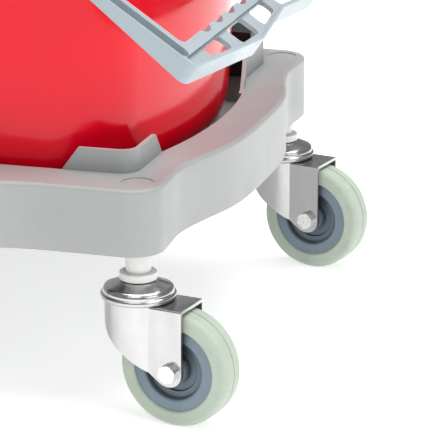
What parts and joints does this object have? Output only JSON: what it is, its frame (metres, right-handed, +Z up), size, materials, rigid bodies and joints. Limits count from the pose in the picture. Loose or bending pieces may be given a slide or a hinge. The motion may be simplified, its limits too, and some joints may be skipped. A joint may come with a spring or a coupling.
{
  "type": "mop bucket trolley",
  "caption": "Wheeled mop trolley: plastic base on swivel casters, oval bucket with a bail, lever press wringer with racks and pinions, push handle and clipped mop.",
  "frame": {"origin": "on the floor under the middle of the whole object", "axes": "+X along the bucket's long side towards the end where the bail rests, +Y towards the push handle, +Z up"},
  "size_m": [0.4782, 0.6312, 1.15],
  "materials": {
    "base_grey": "satin moulded",
    "black_plastic": "fine textured",
    "bucket_red": "glossy moulded",
    "bail_blue_grey": "satin moulded",
    "wringer_blue_grey": "satin moulded",
    "chrome": "bright plated",
    "zinc_steel": "zinc plated",
    "nylon_white": "natural nylon",
    "tyre_grey_green": "smooth non-marking rubber",
    "hub_blue_grey": "satin moulded",
    "foam_black": "soft grip",
    "lever_steel": "bright plated",
    "pole_aluminium": "anodised",
    "mop_blue": "satin moulded",
    "yarn": "twisted cotton"
  },
  "bodies": {
    "base": {"base_tray": "base_grey", "handle_carrier": "black_plastic", "push_handle": "chrome", "push_grip": "foam_black", "clamp_screws": "zinc_steel", "mop_clip": "black_plastic", "stem_front_right": "zinc_steel", "stem_rear_right": "zinc_steel", "stem_front_left": "zinc_steel", "stem_rear_left": "zinc_steel", "stem_bush_front_right": "nylon_white", "stem_bush_rear_right": "nylon_white", "stem_bush_front_left": "nylon_white", "stem_bush_rear_left": "nylon_white"},
    "swivel_front_right": {"swivel_dome_front_right": "chrome", "swivel_balls_front_right": "zinc_steel", "fork_front_right": "chrome", "axle_bolt_front_right": "zinc_steel"},
    "wheel_front_right": {"hub_front_right": "hub_blue_grey", "tyre_front_right": "tyre_grey_green"},
    "swivel_rear_right": {"swivel_dome_rear_right": "chrome", "swivel_balls_rear_right": "zinc_steel", "fork_rear_right": "chrome", "axle_bolt_rear_right": "zinc_steel"},
    "wheel_rear_right": {"hub_rear_right": "hub_blue_grey", "tyre_rear_right": "tyre_grey_green"},
    "swivel_front_left": {"swivel_dome_front_left": "chrome", "swivel_balls_front_left": "zinc_steel", "fork_front_left": "chrome", "axle_bolt_front_left": "zinc_steel"},
    "wheel_front_left": {"hub_front_left": "hub_blue_grey", "tyre_front_left": "tyre_grey_green"},
    "swivel_rear_left": {"swivel_dome_rear_left": "chrome", "swivel_balls_rear_left": "zinc_steel", "fork_rear_left": "chrome", "axle_bolt_rear_left": "zinc_steel"},
    "wheel_rear_left": {"hub_rear_left": "hub_blue_grey", "tyre_rear_left": "tyre_grey_green"},
    "bucket": {"bucket": "bucket_red", "bail_pins": "nylon_white"},
    "bail": {"bail_handle": "bail_blue_grey"},
    "wringer": {"wringer_basket": "wringer_blue_grey"},
    "lever": {"wringer_lever": "lever_steel", "lever_grip": "foam_black", "drive_pinions": "nylon_white", "pinion_shafts": "zinc_steel"},
    "press": {"press_plate": "wringer_blue_grey", "press_racks": "nylon_white"},
    "mop": {"mop_pole": "pole_aluminium", "pole_collar": "mop_blue", "mop_socket": "mop_blue", "mop_clamp": "mop_blue", "mop_yarn": "yarn"},
    "pole_top": {"pole_extension": "pole_aluminium", "pole_grip": "mop_blue"}
  },
  "joints": [
    {"name": "swivel_turn_front_right", "type": "hinge", "parent": "base", "child": "swivel_front_right", "pos_m": [0.17218, -0.2756, 0.08], "axis": [0, 0, 1], "continuous": true},
    {"name": "wheel_roll_front_right", "type": "hinge", "parent": "swivel_front_right", "child": "wheel_front_right", "pos_m": [0.20116, -0.28055, 0.0375], "axis": [0.1685, 0.9857, 0], "continuous": true},
    {"name": "swivel_turn_rear_right", "type": "hinge", "parent": "base", "child": "swivel_rear_right", "pos_m": [0.17218, 0.0564, 0.08], "axis": [0, 0, 1], "continuous": true},
    {"name": "wheel_roll_rear_right", "type": "hinge", "parent": "swivel_rear_right", "child": "wheel_rear_right", "pos_m": [0.201, 0.05059, 0.0375], "axis": [0.1977, 0.9803, 0], "continuous": true},
    {"name": "swivel_turn_front_left", "type": "hinge", "parent": "base", "child": "swivel_front_left", "pos_m": [-0.20382, -0.2756, 0.08], "axis": [0, 0, 1], "continuous": true},
    {"name": "wheel_roll_front_left", "type": "hinge", "parent": "swivel_front_left", "child": "wheel_front_left", "pos_m": [-0.1747, -0.27969, 0.0375], "axis": [0.1392, 0.9903, 0], "continuous": true},
    {"name": "swivel_turn_rear_left", "type": "hinge", "parent": "base", "child": "swivel_rear_left", "pos_m": [-0.20382, 0.0564, 0.08], "axis": [0, 0, 1], "continuous": true},
    {"name": "wheel_roll_rear_left", "type": "hinge", "parent": "swivel_rear_left", "child": "wheel_rear_left", "pos_m": [-0.17517, 0.04979, 0.0375], "axis": [0.225, 0.9744, 0], "continuous": true},
    {"name": "bucket_lift", "type": "slide", "parent": "base", "child": "bucket", "axis": [0, 0, 1], "range_m": [0, 0.3]},
    {"name": "bail_swing", "type": "hinge", "parent": "bucket", "child": "bail", "pos_m": [-0.01582, -0.1116, 0.382], "axis": [0, -1, 0], "range_deg": [0, 124]},
    {"name": "wringer_lift", "type": "slide", "parent": "bucket", "child": "wringer", "axis": [0, 0, 1], "range_m": [0, 0.2]},
    {"name": "lever_swing", "type": "hinge", "parent": "wringer", "child": "lever", "pos_m": [-0.09582, -0.1116, 0.4663], "axis": [0, -1, 0], "range_deg": [0, 90]},
    {"name": "press_slide", "type": "slide", "parent": "wringer", "child": "press", "axis": [1, 0, 0], "range_m": [0, 0.0661]},
    {"name": "mop_lift", "type": "slide", "parent": "base", "child": "mop", "axis": [0, 0, 1], "range_m": [0, 0.35]},
    {"name": "pole_extend", "type": "slide", "parent": "mop", "child": "pole_top", "axis": [0, 0, 1], "range_m": [0, 0.4]}
  ],
  "couplings": [
    {"joint": "press_slide", "follows": "lever_swing", "m_per_rad": 0.042}
  ]
}
